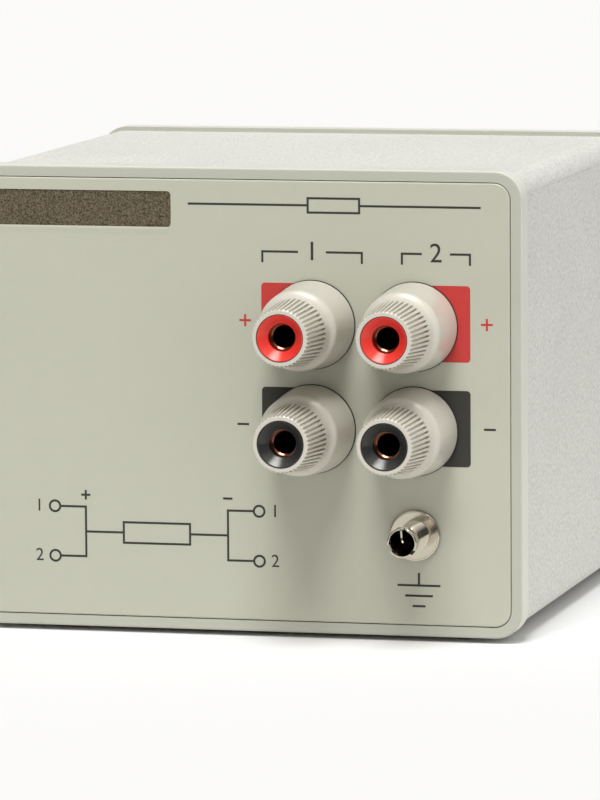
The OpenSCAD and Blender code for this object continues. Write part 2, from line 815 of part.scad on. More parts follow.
module board_screws() {
    color(STEEL) placed() at_standoffs() {
        translate([0, 0, board_z - board_screw_grip])
            cylinder(r = screw_r, h = board_screw_grip + board_t + head_h / 4);
        difference() {
            translate([0, 0, board_top]) cylinder(r = head_r, h = head_h);
            translate([0, 0, board_top + head_h])
                cube([head_r * 3, head_r / 4, head_h * 0.6], center = true);
        }
    }
}

// Turret pins that the leads are soldered to
module board_terminals() {
    color(NICKEL) placed() at_pins() rotate_extrude($fn = 32)
        polygon([[0, -board_t - 1], [pin_r, -board_t - 1], [pin_r, 0], [pin_r + 0.6, 0], [pin_r + 0.6, 0.5],
            [pin_r, 0.5], [pin_r, pin_h - 0.5], [pin_r + 0.4, pin_h - 0.5], [pin_r + 0.4, pin_h], [0, pin_h]]);
}

// Resistors

module at_spools() {
    for (k = [0:spool_count - 1], row = [-1, 1])
        translate([(k - (spool_count - 1) / 2) * spool_pitch, spool_y + row * spool_row_pitch / 2, board_top])
            children();
}

module resistor_spools() {
    color([0.9, 0.88, 0.82]) placed() at_spools() rotate_extrude()
        polygon([[0, 0], [spool_r, 0], [spool_r, spool_flange_t], [spool_core_r, spool_flange_t],
            [spool_core_r, spool_h - spool_flange_t], [spool_r, spool_h - spool_flange_t], [spool_r, spool_h],
            [0, spool_h]]);
}

module resistor_windings() {
    color([0.6, 0.28, 0.14]) placed() at_spools()
        ring(winding_r, spool_core_r + run, spool_flange_t + run, spool_h - spool_flange_t - run);
}

module at_trims() {
    first_x = standoff_inset - board_w / 2 + head_r + trim_clear + trim_wire_l / 2;
    for (k = [0:trim_count - 1])
        translate([first_x + k * (trim_l + trim_gap), pin_y + trim_back, board_top + trim_r + trim_lift])
            children();
}

// The two legs of a trim resistor, thicker by some clearance where they cut their holes
module trim_wires(extra) {
    leg_x = trim_l / 2 + trim_leg_l;
    leg_h = trim_r + trim_lift + board_t + 1;
    for (x = [-leg_x, leg_x]) translate([x, 0, -leg_h])
        cylinder(r = trim_leg_r + extra, h = leg_h, $fn = 24);
}

module trim_resistors() {
    color([0.66, 0.5, 0.32]) placed() at_trims() {
        rotate([0, 90, 0]) cylinder(r = trim_r, h = trim_l, center = true, $fn = 48);
        rotate([0, 90, 0]) cylinder(r = trim_leg_r, h = trim_wire_l, center = true, $fn = 24);
        trim_wires(0);
    }
}

// Hook-up leads

// Point of a cubic curve with four control points
function curve_at(p, t) =
    p[0] * pow(1 - t, 3) + 3 * p[1] * t * pow(1 - t, 2) + 3 * p[2] * t * t * (1 - t) + p[3] * pow(t, 3);

function unit(v) = v / norm(v);

// Direction of that curve
function way_at(p, t) =
    unit((p[1] - p[0]) * pow(1 - t, 2) + 2 * (p[2] - p[1]) * t * (1 - t) + (p[3] - p[2]) * t * t);

// A round lead swept along the curve, square to its ends
module lead(p, r, rings = 12, sides = 8) {
    function circle_at(c, d) = let (u = unit(cross(d, [1, 0.2, 0])), v = cross(d, u))
        [for (k = [0:sides - 1]) c + r * (u * cos(k * 360 / sides) + v * sin(k * 360 / sides))];
    points = [for (j = [0:rings]) each circle_at(curve_at(p, j / rings), way_at(p, j / rings))];
    walls = [for (j = [0:rings - 1], k = [0:sides - 1]) let (a = j * sides + k, b = j * sides + (k + 1) % sides)
        each [[a, b, b + sides], [a, b + sides, a + sides]]];
    caps = [[for (k = [sides - 1:-1:0]) k], [for (k = [0:sides - 1]) rings * sides + k]];
    polyhedron(points, concat(walls, caps));
}

// From the back of a lug to the top of a pin
function lead_curve(from, pin, back, rise) =
    let (to = [PIN_X[pin], pin_y, board_top + pin_h])
    [from, from + [0, back, 0], to + [0, 0, rise], to];

module hookup_leads() {
    color([0.82, 0.8, 0.74]) placed() {
        for (i = [0:3]) let (from = [POSTS[i][0] + cos(LUG_TURN[i]) * lug_l, lug_at - panel_proud, POSTS[i][1]])
            lead(lead_curve(from, LEAD_PIN[i], LEAD_BACK[i], LEAD_RISE[i]), lead_r);
        lead(lead_curve([ground_x - lug_l, jack_lug_at - panel_proud, ground_z], GROUND_PIN,
            lead_back_ground, lead_rise_ground), lead_r);
    }
}

front_bezel();
rear_bezel();
front_panel();
rear_panel();
badge_plate();
top_cover();
bottom_cover();
corner_rods();
rear_screws();
panel_studs();
panel_nuts();
rubber_feet();
knob(0);  // knob_current_hi
knob(1);  // knob_current_lo
knob(2);  // knob_sense_hi
knob(3);  // knob_sense_lo
knob_bush(0);  // bush_current_hi
knob_bush(1);  // bush_current_lo
knob_bush(2);  // bush_sense_hi
knob_bush(3);  // bush_sense_lo
collar(0);  // collar_current_hi
collar(1);  // collar_current_lo
collar(2);  // collar_sense_hi
collar(3);  // collar_sense_lo
post_stud(0);  // stud_current_hi
post_stud(1);  // stud_current_lo
post_stud(2);  // stud_sense_hi
post_stud(3);  // stud_sense_lo
post_bushings();
post_insulators();
post_washers();
post_lugs();
post_nuts();
ground_jack();
ground_washer();
ground_lug();
ground_nut();
circuit_board();
board_standoffs();
board_screws();
board_terminals();
resistor_spools();
resistor_windings();
trim_resistors();
hookup_leads();
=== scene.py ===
"""Dresses a bench resistance standard for a studio picture: paint, plating, moulded plastic,
panel printing, stage, light and camera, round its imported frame."""

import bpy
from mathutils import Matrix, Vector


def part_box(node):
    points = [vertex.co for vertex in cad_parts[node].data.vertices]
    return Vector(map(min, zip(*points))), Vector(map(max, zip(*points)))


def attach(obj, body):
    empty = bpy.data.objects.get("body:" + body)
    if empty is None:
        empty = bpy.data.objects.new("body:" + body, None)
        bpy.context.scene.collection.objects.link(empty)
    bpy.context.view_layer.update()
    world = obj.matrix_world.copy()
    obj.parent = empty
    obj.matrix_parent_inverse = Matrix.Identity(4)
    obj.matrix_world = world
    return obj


bl_info = {
    "name": "Resistance standard dressing",
    "version": (1, 0, 0),
    "blender": (4, 5, 0),
    "location": "View3D > Sidebar > Standard",
    "description": "Finishes, panel printing, stage and light for a bench resistance standard",
    "category": "Object",
}

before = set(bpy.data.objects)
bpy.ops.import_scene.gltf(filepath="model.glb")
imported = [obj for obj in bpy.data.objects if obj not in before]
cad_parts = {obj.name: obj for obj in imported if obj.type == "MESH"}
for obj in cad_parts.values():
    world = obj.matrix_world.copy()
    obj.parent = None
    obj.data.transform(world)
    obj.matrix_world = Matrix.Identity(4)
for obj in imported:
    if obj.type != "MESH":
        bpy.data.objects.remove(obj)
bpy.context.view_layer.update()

from math import cos, hypot, pi, radians, sin

import bmesh
import bpy
from bpy.props import FloatProperty, FloatVectorProperty, PointerProperty
from mathutils import Matrix, Vector

MM = 0.001
POSTS = ("current_hi", "current_lo", "sense_hi", "sense_lo")


def middle(node):
    """Middle of a node's box at rest."""
    low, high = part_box(node)
    return (low + high) / 2


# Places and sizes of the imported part
PANEL_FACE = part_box("front_panel")[0].y
REAR_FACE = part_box("rear_panel")[1].y
PANEL_CORNER, BEZEL_CORNER = 3 * MM, 5 * MM
BEZEL_DEPTH = 5.2 * MM
LID_RIDGE = 0.18 * MM
FLANGE_INNER, FLANGE_OUTER, FLANGE_FRONT = 2.58 * MM, 4.33 * MM, 0.87 * MM
POST_AT = {post: middle("knob_" + post) for post in POSTS}
POST_PITCH = POST_AT["sense_hi"].x - POST_AT["current_hi"].x
JACK_AT = middle("ground_jack")
JACK_MOUTH = Vector((JACK_AT.x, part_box("ground_jack")[0].y, JACK_AT.z))
FIRST_POST = POST_AT["current_lo"]
SOCKET_MOUTH = Vector((FIRST_POST.x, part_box("stud_current_lo")[0].y, FIRST_POST.z))
CASE_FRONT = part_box("front_bezel")[0].y
CASE_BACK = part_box("rear_bezel")[1].y
COLLAR_R, BUSHING_R, SKIRT_R = [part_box(node)[1].x - POST_AT["sense_hi"].x
                                for node in ("collar_sense_hi", "post_bushings", "knob_sense_hi")]


# Settings

def colour(name, description, default):
    return FloatVectorProperty(name=name, description=description, default=default, subtype="COLOR",
                               size=3, min=0, max=1)


def length(name, description, default, low=0.0):
    return FloatProperty(name=name, description=description, default=default, min=low,
                         subtype="DISTANCE", unit="LENGTH", precision=5)


def level(name, description, default):
    return FloatProperty(name=name, description=description, default=default, min=0)


def angle(name, description, degrees):
    return FloatProperty(name=name, description=description, default=radians(degrees), unit="ROTATION")


def direction(name, description, default):
    return FloatVectorProperty(name=name, description=description, default=default, subtype="DIRECTION")


def place(name, description, default):
    return FloatVectorProperty(name=name, description=description, default=default, size=len(default),
                               subtype="TRANSLATION", unit="LENGTH")


class PaintSettings(bpy.types.PropertyGroup):
    panel: colour("Panel", "Paint of the front and rear panels", (0.47, 0.47, 0.386))
    bezel: colour("Bezels", "Paint of the bezels", (0.445, 0.45, 0.38))
    bezel_side: colour("Bezel sides", "Paint on the bezels' top, bottom and sides", (0.74, 0.74, 0.685))
    cover: colour("Covers", "Paint of the covers", (0.712, 0.716, 0.68))
    pebble: length("Pebble size", "Size of the pebbles in the covers' paint", 0.0006, 0.0001)
    edge: length("Edge round", "Round on the edges of the covers", 0.00005)
    panel_edge: length("Panel round", "Round on the edges of the panels", 0.0003)
    bezel_edge: length("Bezel round", "Round on the bezels' edges", 0.00038)


class PlasticSettings(bpy.types.PropertyGroup):
    knob: colour("Knobs", "Moulded plastic of the knobs", (0.565, 0.54, 0.47))
    red: colour("Red collars", "Plastic of the high row's collars", (0.7, 0.036, 0.024))
    black: colour("Black collars", "Plastic of the low row's collars", (0.024, 0.024, 0.024))
    nylon: colour("Nylon", "Insulating bushings and washers", (0.02, 0.02, 0.02))


class MetalSettings(bpy.types.PropertyGroup):
    nickel: colour("Nickel", "Plating of the ground jack, lugs and nuts", (0.74, 0.69, 0.63))
    copper: colour("Copper", "Flashed copper of the posts", (0.46, 0.2, 0.13))
    zinc: colour("Zinc", "Plated steel of the fasteners", (0.62, 0.63, 0.64))
    badge: colour("Badge plate", "Bronze-brown plate in the panel", (0.163, 0.134, 0.088))


class InsideSettings(bpy.types.PropertyGroup):
    board: colour("Board", "Glass-cloth laminate of the circuit board", (0.03, 0.13, 0.06))
    spool: colour("Spools", "Ceramic of the resistor spools", (0.76, 0.74, 0.68))
    wire: colour("Wire", "Enamelled wire on the spools", (0.4, 0.13, 0.05))
    lacquer: colour("Lacquer", "Lacquer of the trim resistors", (0.42, 0.27, 0.13))
    lead: colour("Leads", "Insulation of the hook-up leads", (0.7, 0.67, 0.58))


class PrintSettings(bpy.types.PropertyGroup):
    red: colour("Red ink", "Patches and signs of the high row", (0.5, 0.04, 0.035))
    dark: colour("Dark ink", "Patches and signs of the low row, and all marks", (0.035, 0.034, 0.03))
    depth: length("Ink depth", "Thickness of the ink on the panel", 0.00002, 0.000005)
    stroke: length("Stroke", "Width of a printed line", 0.0004, 0.0001)
    shift: place("Shift", "Shift of the print from the posts, sideways and up", (0.00054, 0.0006))
    patch_side: length("Patch side", "Reach of a patch outwards from its post", 0.00994)
    patch_rise: length("Patch rise", "Half the height of a patch", 0.00695)
    patch_round: length("Patch round", "Radius of a patch's outer corners", 0.0007)
    sign: length("Sign size", "Length of the strokes of plus and minus", 0.0022)
    numeral: length("Numeral height", "Height of the numerals over the columns", 0.0036)


class StageSettings(bpy.types.PropertyGroup):
    floor: colour("Floor", "Colour of the floor", (0.8, 0.8, 0.8))
    floor_radius: length("Floor radius", "Radius of the floor", 9.0, 1.0)
    paper: length("White in gloss", "How far out gloss mirrors the floor as paper", 0.28, 0.1)
    near_gloss: colour("Near floor in gloss", "What gloss mirrors of the paper", (0.63, 0.628, 0.557))
    far_gloss: colour("Far floor in gloss", "What gloss mirrors beyond the paper", (0.06, 0.055, 0.05))
    sky: level("Sky", "Strength of the even light from all sides", 0.25)
    sky_tint: colour("Sky tint", "Colour of the even light", (1.0, 0.955, 0.85))
    soft_box: level("Soft box", "Strength of the lamp overhead that only gloss mirrors", 8.0)
    soft_box_at: direction("Soft box direction", "Way from the object to that lamp", (0.1, -0.26, 0.95))
    key: level("Key light", "Level of the soft light from above the front", 0.955)
    key_tint: colour("Key tint", "Colour of the key light", (0.98, 0.985, 1.0))
    key_from: direction("Key direction", "Way from the object to the key light", (0.04, -0.5, 0.86))
    key_size: angle("Key size", "Angle across the key light", 25)
    side: level("Side light", "Level of the broad light from the right", 0.335)
    side_from: direction("Side direction", "Way from the object to the side light", (0.85, -0.3, 0.43))
    side_size: angle("Side size", "Angle across the side light", 80)
    camera: place("Camera", "Place of the camera", (0.29722, PANEL_FACE - 1.13007, 0.18109))
    azimuth: angle("Azimuth", "Turn of the view round the object", 14.2018)
    elevation: angle("Elevation", "How far the view looks down", 6.7151)
    roll: angle("Roll", "Turn of the camera about its view", 0.3797)
    lens: FloatProperty(name="Lens", description="Focal length on a 36 mm wide sensor", unit="CAMERA",
                        default=290.35)


# Node trees

def assign(thing, values):
    for name, value in values.items():
        setattr(thing, name, value)


def add(tree, kind, inputs=None, **properties):
    """Adds a node with its properties and the values or links of its inputs."""
    made = tree.nodes.new(kind)
    assign(made, properties)
    for name, value in (inputs or {}).items():
        if isinstance(value, bpy.types.NodeSocket):
            tree.links.new(value, made.inputs[name])
        else:
            made.inputs[name].default_value = value
    return made


def maths(tree, operation, *values):
    """Result of a Math node."""
    return add(tree, "ShaderNodeMath", dict(enumerate(values)), operation=operation).outputs[0]


def vectors(tree, operation, *values, **more):
    """The outputs of a Vector Math node: Vector and Value."""
    inputs = {**dict(enumerate(values)), **more}
    return add(tree, "ShaderNodeVectorMath", inputs, operation=operation).outputs


def ramp(tree, value, start, end, low=0.0, high=1.0):
    """A value that goes from low to high while another one goes from start to end."""
    return add(tree, "ShaderNodeMapRange", {"Value": value, "From Min": start, "From Max": end,
                                            "To Min": low, "To Max": high}).outputs[0]


def mix(tree, mask, first, second):
    """The first colour where a mask is 0, the second where it is 1."""
    return add(tree, "ShaderNodeMix", {0: mask, 6: first, 7: second}, data_type="RGBA").outputs[2]


def noise(tree, place, scale, detail, **more):
    """The outputs of a noise texture: Fac and Color."""
    inputs = {"Vector": place, "Scale": scale, "Detail": detail, **more}
    return add(tree, "ShaderNodeTexNoise", inputs).outputs


def in_units(tree, vector, size):
    """A place measured in units of size."""
    return vectors(tree, "SCALE", vector, Scale=maths(tree, "DIVIDE", 1.0, size))[0]


def round_axis(tree, vector):
    """Distance from an axis along Y through the origin, and the place along that axis."""
    x, y, z = add(tree, "ShaderNodeSeparateXYZ", {0: vector}).outputs
    square = maths(tree, "MULTIPLY_ADD", x, x, maths(tree, "MULTIPLY", z, z))
    return maths(tree, "SQRT", square), y


def grain(tree, vector, size):
    """Two layers of fine noise: a tone, and a height for a bump."""
    place = in_units(tree, vector, size)
    fine, broad = noise(tree, place, 1.0, 2.0)[0], noise(tree, place, 0.31, 1.0)[0]
    return maths(tree, "MULTIPLY_ADD", fine, 0.65, maths(tree, "MULTIPLY", broad, 0.35)), fine


def pebbles(tree, vector, size):
    """Textured paint: rounded pebbles run together, with a finer pitting over them."""
    place = in_units(tree, vector, size)
    bent = vectors(tree, "ADD", place, noise(tree, place, 0.8, 1.0)["Color"])[0]
    cells = add(tree, "ShaderNodeTexVoronoi", {"Vector": bent, "Scale": 1.0, "Smoothness": 0.6},
                feature="SMOOTH_F1").outputs["Distance"]
    dome, pits = ramp(tree, cells, 0.0, 0.75, 1.0, 0.0), noise(tree, place, 2.6, 2.0)[0]
    height = maths(tree, "MULTIPLY_ADD", pits, 0.35, maths(tree, "MULTIPLY", dome, 0.65))
    return height, height


def tint(tree, rgb, tone, spread):
    """A colour made lighter and darker by a tone that runs from 0 to 1."""
    factor = maths(tree, "MULTIPLY_ADD", maths(tree, "SUBTRACT", tone, 0.5), spread, 1.0)
    return [vectors(tree, "SCALE", rgb, Scale=factor)[0]]


def handling(tree, vector, size):
    """Broad patches where hands and cloths have left a surface a little duller."""
    cloud = noise(tree, in_units(tree, vector, size), 1.0, 4.0, Roughness=0.6)[0]
    return [ramp(tree, cloud, 0.42, 0.66)]


def turning(tree, vector, pitch):
    """Fine lathe lines round an axis along Y through the origin."""
    radius, depth = round_axis(tree, vector)
    along = maths(tree, "DIVIDE", maths(tree, "ADD", radius, depth), pitch)
    inputs = {"W": along, "Scale": 1.0, "Detail": 2.0}
    return [add(tree, "ShaderNodeTexNoise", inputs, noise_dimensions="1D").outputs[0]]


def bore(tree, vector, radius, deep):
    """The inside of a bore along Y whose mouth is at the origin: 0 at the mouth, 1 from a depth on. It
    masks painted shade in bores.
    """
    away, depth = round_axis(tree, vector)
    inside = maths(tree, "LESS_THAN", away, radius)
    return [maths(tree, "MULTIPLY", inside, ramp(tree, depth, 0.0, deep))]


SOCKET_KINDS = {"Vector": "NodeSocketVector", "Colour": "NodeSocketColor"}
GROUPS = {"Grain": (grain, ("Vector", "Size"), ("Tone", "Height")),
          "Pebbles": (pebbles, ("Vector", "Size"), ("Tone", "Height")),
          "Tint": (tint, ("Colour", "Tone", "Spread"), ("Colour",)),
          "Handling": (handling, ("Vector", "Size"), ("Mask",)),
          "Turning": (turning, ("Vector", "Pitch"), ("Lines",)),
          "Bore shade": (bore, ("Vector", "Radius", "Depth"), ("Mask",))}


def new_group(name):
    """A shader node group of the table."""
    maker, takes, gives = GROUPS[name]
    group = bpy.data.node_groups.new(name, "ShaderNodeTree")
    for way, sockets in (("INPUT", takes), ("OUTPUT", gives)):
        for socket in sockets:
            kind = SOCKET_KINDS.get(socket, "NodeSocketFloat")
            group.interface.new_socket(socket, in_out=way, socket_type=kind)
    start = group.nodes.new("NodeGroupInput").outputs
    end = group.nodes.new("NodeGroupOutput").inputs
    for socket, value in zip(gives, maker(group, *[start[socket] for socket in takes])):
        group.links.new(value, end[socket])
    return group


def place_group(tree, name, inputs):
    """The outputs of a shared group, which is built when it is first asked for."""
    group = bpy.data.node_groups.get(name) or new_group(name)
    return add(tree, "ShaderNodeGroup", inputs, node_tree=group).outputs


class Finish:
    """A material that is being built, with the nodes that most finishes need."""

    def __init__(self, name, **shader):
        self.material = bpy.data.materials.new(name)
        self.material.use_nodes = True
        self.tree = self.material.node_tree
        self.shader = self.tree.nodes["Principled BSDF"]
        for socket, value in shader.items():
            self.shader.inputs[socket.replace("_", " ")].default_value = value
        self.place = add(self.tree, "ShaderNodeTexCoord").outputs["Object"]

    def link(self, value, socket):
        self.tree.links.new(value, self.shader.inputs[socket])

    def centred(self, point):
        """The object coordinates counted from a point."""
        return add(self.tree, "ShaderNodeMapping", {"Vector": self.place, "Location": -point}).outputs[0]

    def depth(self):
        """The object coordinate along Y."""
        return add(self.tree, "ShaderNodeSeparateXYZ", {0: self.place}).outputs["Y"]

    def group(self, name, **inputs):
        """The outputs of a shared group, which reads the object coordinates unless given others."""
        return place_group(self.tree, name, {"Vector": self.place, **inputs})

    def base(self, rgb, tone, spread):
        """Base colour, made lighter and darker by a tone."""
        tinted = place_group(self.tree, "Tint", {"Colour": (*rgb, 1.0), "Tone": tone, "Spread": spread})
        self.link(tinted[0], "Base Color")

    def surface(self, rgb, tone, rough, relief):
        """Base colour with a tone and its spread, roughness with a mask and its two ends, and a bump with
        a height and its full depth."""
        self.base(rgb, *tone)
        mask, low, high = rough
        self.link(ramp(self.tree, mask, 0.0, 1.0, low, high), "Roughness")
        height, depth = relief
        bump = add(self.tree, "ShaderNodeBump", {"Height": height, "Distance": depth, "Strength": 1.0})
        self.link(bump.outputs[0], "Normal")

    def change(self, mask, rgb):
        """Turns the base colour into another one where a mask is 1."""
        before = self.shader.inputs["Base Color"].links[0].from_socket
        self.link(mix(self.tree, mask, before, (*rgb, 1.0)), "Base Color")

    def turned(self, place, amount):
        """Draws highlights out across lathe lines that run round the origin of place."""
        self.link(vectors(self.tree, "CROSS_PRODUCT", place, (0.0, 1.0, 0.0))[0], "Tangent")
        self.shader.inputs["Anisotropic"].default_value = amount
        self.shader.inputs["Anisotropic Rotation"].default_value = 0.25


# Finishes

def once(name, maker, *values):
    """The material of that name, which maker builds the first time."""
    return bpy.data.materials.get(name) or maker(name, *values).material


def patterned(name, rgb, size, spread, rough, depth, marks=None, pattern="Grain", **shader):
    """Colour and relief follow a pattern, and gloss follows it too, or patches of handling."""
    finish = Finish(name, **shader)
    made = finish.group(pattern, Size=size)
    mask = finish.group("Handling", Size=marks)["Mask"] if marks else made["Tone"]
    finish.surface(rgb, (made["Tone"], spread), (mask, *rough), (made["Height"], depth))
    return finish


def smooth_paint(name, rgb):
    """Satin paint with a faint orange peel."""
    return patterned(name, rgb, 1.4 * MM, 0.05, (0.4, 0.5), 0.004 * MM, marks=22 * MM,
                     Specular_IOR_Level=0.42)


def bezel_paint(name, face, sides):
    """Satin paint that is lighter on all sides than on the face and on the step to the covers."""
    finish = smooth_paint(name, sides)
    tree = finish.tree
    face_end, face_start, step_over = 0.32 * MM, 0.08 * MM, 0.04 * MM
    middle_y, half = (CASE_FRONT + CASE_BACK) / 2, (CASE_BACK - CASE_FRONT) / 2
    off = maths(tree, "ABSOLUTE", maths(tree, "SUBTRACT", finish.depth(), middle_y))
    front = ramp(tree, off, half - face_end, half - face_start)
    step = maths(tree, "LESS_THAN", off, half - BEZEL_DEPTH + step_over)
    finish.change(maths(tree, "MAXIMUM", front, step), face)
    return finish


def textured_paint(name, rgb, size):
    """Pebbled paint of the covers."""
    return patterned(name, rgb, size, 0.5, (0.5, 0.6), 0.15 * MM, marks=30 * MM, pattern="Pebbles",
                     Specular_IOR_Level=0.4)


def paint_gap_shadow(finish, reach, rgb):
    """Paints shade on what lies within reach of the panel's face: a painted shadow of the gap to the
    panel.
    """
    finish.change(maths(finish.tree, "GREATER_THAN", finish.depth(), PANEL_FACE - reach), rgb)
    return finish


def knob_plastic(name, rgb):
    """Warm grey moulding: slightly glossy, with a faint mottle from the mould, and a painted shadow at its
    foot by the panel.
    """
    finish = patterned(name, rgb, 0.7 * MM, 0.06, (0.34, 0.42), 0.002 * MM, marks=7 * MM,
                       Specular_IOR_Level=0.4, Subsurface_Weight=0.12, Subsurface_Scale=0.6 * MM,
                       Subsurface_Radius=(1.0, 0.8, 0.5), Coat_Weight=0.5, Coat_Roughness=0.2)
    # Painted shadow of the gap between the skirt and the panel
    return paint_gap_shadow(finish, 0.45 * MM, (0.03, 0.03, 0.028))


def post_place(finish):
    """Object coordinates counted from the mouth of the nearest post's socket."""
    half = POST_PITCH / 2
    most, least = (half, 1.0, half), (-half, -1.0, -half)
    return vectors(finish.tree, "WRAP", finish.centred(SOCKET_MOUTH), most, least)[0]


def glossy_plastic(name, rgb):
    """Glossy moulding of the collars, with fine rings left by turning and a painted shadow on the rim
    where it meets the knob's tip.
    """
    rim_width, rim_shadow_factor = 0.12 * MM, 0.2
    finish = Finish(name, Specular_IOR_Level=0.85)
    place = post_place(finish)
    tone = finish.group("Grain", Size=0.5 * MM)["Tone"]
    lines = finish.group("Turning", Vector=place, Pitch=0.16 * MM)["Lines"]
    finish.surface(rgb, (tone, 0.12), (lines, 0.22, 0.32), (lines, 0.006 * MM))
    # Painted shadow: the outer rim is darkened where the collar meets the knob's tip
    radius = round_axis(finish.tree, place)[0]
    rim = maths(finish.tree, "GREATER_THAN", radius, COLLAR_R - rim_width)
    finish.change(rim, [rim_shadow_factor * part for part in rgb])
    finish.turned(place, 0.8)
    return finish


def turned_metal(name, rgb, place, rough, radius, deep, dark):
    """Plated metal from a lathe, whose axis runs along Y; its bore is painted darker with depth, as
    painted shade where light does not reach.
    """
    finish = Finish(name, Metallic=1.0)
    vector = place(finish)
    lines = finish.group("Turning", Vector=vector, Pitch=0.14 * MM)["Lines"]
    inside = finish.group("Bore shade", Vector=vector, Radius=radius, Depth=deep)["Mask"]
    finish.surface(rgb, (lines, 0.15), (lines, rough - 0.05, rough + 0.05), (lines, 0.001 * MM))
    # Painted shade: the bore's inside is darkened with depth
    finish.change(inside, dark)
    return finish


def copper(name, rgb):
    """Flashed copper of the studs, with a turned grain across its highlights and painted shade deep in the
    sockets.
    """
    finish = turned_metal(name, rgb, post_place, rough=0.2, radius=2.3 * MM, deep=1.2 * MM,
                          dark=(0.12, 0.04, 0.028))
    finish.turned(post_place(finish), 0.3)
    return finish


def turned_nickel(name, rgb):
    """Bright nickel of the ground jack, with painted shade deep in its bore and on the flange's side by
    the panel.
    """
    finish = turned_metal(name, rgb, lambda made: made.centred(JACK_MOUTH), rough=0.12,
                          radius=2.2 * MM, deep=2.5 * MM, dark=(0.1, 0.07, 0.055))
    # Painted shadow on the flange's side next to the panel
    return paint_gap_shadow(finish, 0.5 * MM, (0.05, 0.045, 0.035))


def plain_metal(name, rgb, low, high):
    """Plated sheet metal and screws, with a slight mottle."""
    return patterned(name, rgb, 0.5 * MM, 0.15, (low, high), 0.004 * MM, marks=3 * MM, Metallic=1.0)


def nickel_sheet(metal):
    return once("nickel_sheet", plain_metal, metal.nickel, 0.2, 0.32)


def zinc_plate(metal):
    return once("zinc_plated", plain_metal, metal.zinc, 0.28, 0.42)


def badge_metal(name, rgb):
    """Bronze-brown plate with a sparkling grain."""
    finish = Finish(name, Metallic=0.55, Specular_IOR_Level=0.5)
    flakes = finish.group("Grain", Size=0.13 * MM)
    patches = finish.group("Grain", Size=1.1 * MM)
    broad = maths(finish.tree, "MULTIPLY", patches["Tone"], 0.1)
    both = maths(finish.tree, "MULTIPLY_ADD", flakes["Tone"], 0.9, broad)
    sparkle = ramp(finish.tree, both, 0.4, 0.6)
    finish.surface(rgb, (sparkle, 1.5), (flakes["Tone"], 0.3, 0.6), (flakes["Height"], 0.02 * MM))
    return finish


def rubber(name, rgb):
    return patterned(name, rgb, 0.4 * MM, 0.4, (0.75, 0.9), 0.02 * MM, Specular_IOR_Level=0.3)


def dull_plastic(name, rgb):
    """Nylon, ceramic, lacquer and lead insulation."""
    return patterned(name, rgb, 0.6 * MM, 0.08, (0.45, 0.65), 0.008 * MM, Specular_IOR_Level=0.4)


def ink(name, rgb):
    """Screen-printed ink, slightly uneven."""
    return patterned(name, rgb, 0.45 * MM, 0.3, (0.45, 0.6), 0.003 * MM, Specular_IOR_Level=0.35)


def banded(name, rgb, way, scale, distortion, spread, rough, depth, **shader):
    """Colour, gloss and relief follow even bands."""
    finish = Finish(name, **shader)
    inputs = {"Vector": finish.place, "Scale": scale, "Distortion": distortion}
    band = add(finish.tree, "ShaderNodeTexWave", inputs, bands_direction=way).outputs["Fac"]
    finish.surface(rgb, (band, spread), (band, *rough), (band, depth))
    return finish


def laminate(name, rgb):
    """Green glass-cloth board: a woven ground under a clear resist."""
    return banded(name, rgb, "DIAGONAL", 900.0, 0.6, 0.12, (0.35, 0.45), 0.004 * MM,
                  Specular_IOR_Level=0.5, Coat_Weight=0.4, Coat_Roughness=0.2)


def winding(name, rgb):
    """Enamelled wire laid turn by turn round an upright spool."""
    return banded(name, rgb, "Z", 700.0, 0.3, 0.5, (0.25, 0.4), 0.06 * MM,
                  Metallic=0.7, Coat_Weight=0.5, Coat_Roughness=0.15)


# Meshes

def node_object(name):
    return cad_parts[name]


def paint(material, *nodes):
    """Gives CAD nodes a material."""
    for name in nodes:
        slots = node_object(name).data.materials
        slots.clear()
        slots.append(material)


def rim_group(node, depth, corner):
    """Puts the vertices of a node's outer outline at one depth into a vertex group."""
    low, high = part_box(node)
    centre, half = (low + high) / 2, (high - low) / 2
    at_depth, at_outline = 0.01 * MM, 0.5 * MM
    group = node_object(node).vertex_groups.new(name="rim")
    for vertex in node_object(node).data.vertices:
        off = vertex.co - centre
        over_x, over_z = abs(off.x) - half.x + corner, abs(off.z) - half.z + corner
        inset = corner - hypot(max(over_x, 0), max(over_z, 0)) - min(max(over_x, over_z), 0)
        if abs(vertex.co.y - depth) < at_depth and inset < at_outline:
            group.add([vertex.index], 1.0, "REPLACE")
    return group.name


def soften(width, *nodes, segments=2, rim="", near=0.0005 * MM):
    """Rounds the sharp edges of CAD nodes, or only those of a vertex group. Near vertices are merged
    and flat faces joined first, so that each edge is bevelled as one."""
    flat, sharp = radians(0.2), radians(30)
    stack = {"WELD": {"merge_threshold": near},
             "DECIMATE": {"decimate_type": "DISSOLVE", "angle_limit": flat, "delimit": {"SHARP"}},
             "BEVEL": {"width": width, "segments": segments, "limit_method": "VGROUP" if rim else "ANGLE",
                       "vertex_group": rim, "angle_limit": sharp, "harden_normals": True},
             "WEIGHTED_NORMAL": {"keep_sharp": True}}
    for name in nodes:
        for kind, values in stack.items():
            assign(node_object(name).modifiers.new(kind.lower(), kind), values)


def put(name, data):
    """Puts an object into the scene."""
    made = bpy.data.objects.new(name, data)
    bpy.context.scene.collection.objects.link(made)
    return made


def put_mesh(name, bm, material):
    """Puts a bmesh into the scene."""
    mesh = bpy.data.meshes.new(name)
    bm.to_mesh(mesh)
    bm.free()
    mesh.materials.append(material)
    return put(name, mesh)


def finished(name, bm, material):
    """Makes a bmesh into a piece of the case."""
    bmesh.ops.recalc_face_normals(bm, faces=bm.faces)
    piece = put_mesh(name, bm, material)
    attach(piece, "case")
    return piece


